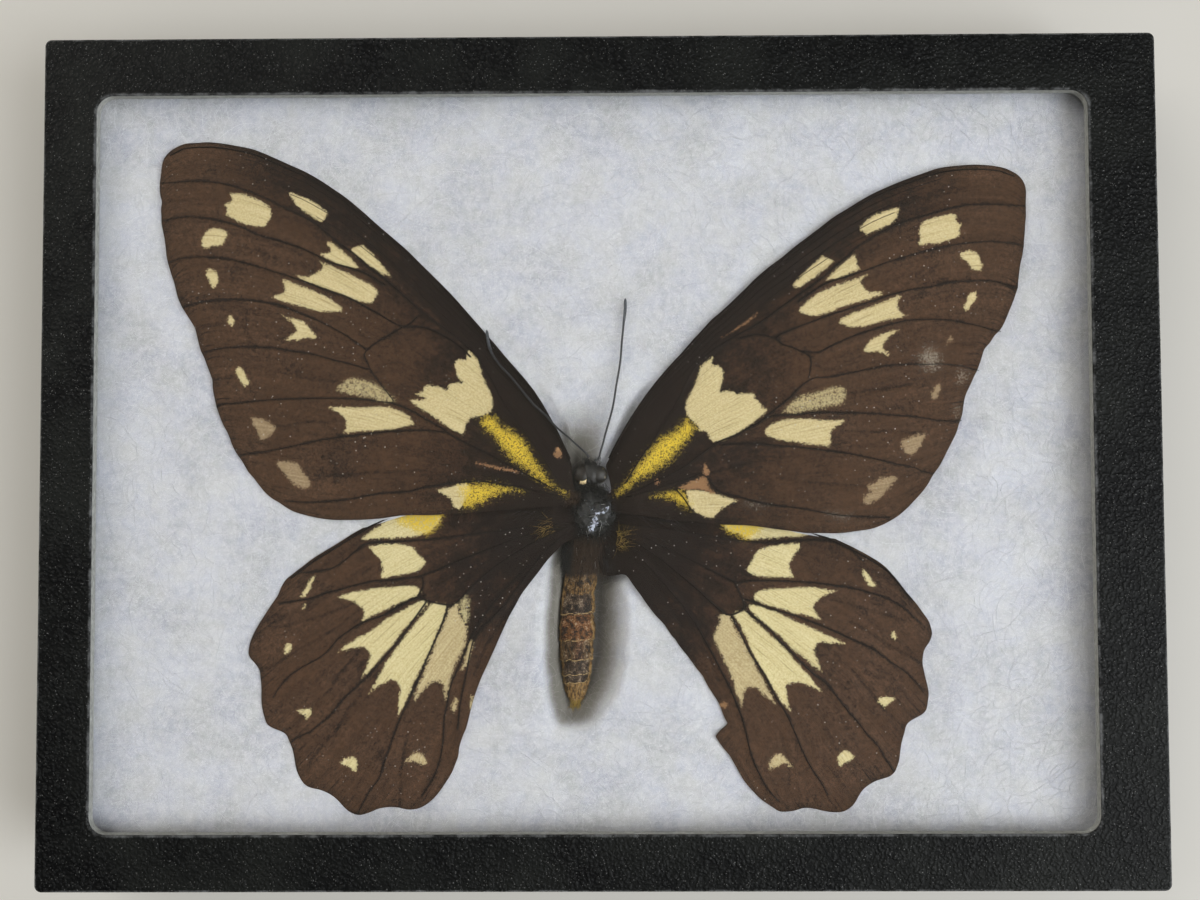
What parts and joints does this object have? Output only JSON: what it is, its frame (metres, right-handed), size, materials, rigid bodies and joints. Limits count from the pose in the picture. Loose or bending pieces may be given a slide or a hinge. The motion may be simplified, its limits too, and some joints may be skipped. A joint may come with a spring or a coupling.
{
  "type": "framed butterfly specimen",
  "caption": "Shallow glazed card case holding a large spread butterfly pressed flat on white wadding, seen through a round-cornered window in the lid.",
  "frame": {"origin": "centre of the case's underside, on the surface it lies on", "axes": "+Z out through the glass, +Y towards the butterfly's head, +X to the right, seen through the glass"},
  "size_m": [0.21, 0.16, 0.019],
  "materials": {
    "tray_card": "black paper over card",
    "lid_card": "black pebbled paper over card, soft sheen",
    "glass": "clear, polished",
    "wadding": "loose white fibre",
    "forewing": "brown scales with cream and yellow markings",
    "hindwing": "brown scales with cream and yellow markings",
    "body": "dark, partly glossy and hairy",
    "abdomen": "brown and golden rings, worn",
    "antenna": "satin black"
  },
  "bodies": {
    "root": {"base_tray": "tray_card", "lid": "lid_card", "glass": "glass", "wadding": "wadding", "forewing_left": "forewing", "forewing_right": "forewing", "hindwing_left": "hindwing", "hindwing_right": "hindwing", "head": "body", "thorax": "body", "abdomen": "abdomen", "antenna_left": "antenna", "antenna_right": "antenna"}
  },
  "joints": []
}
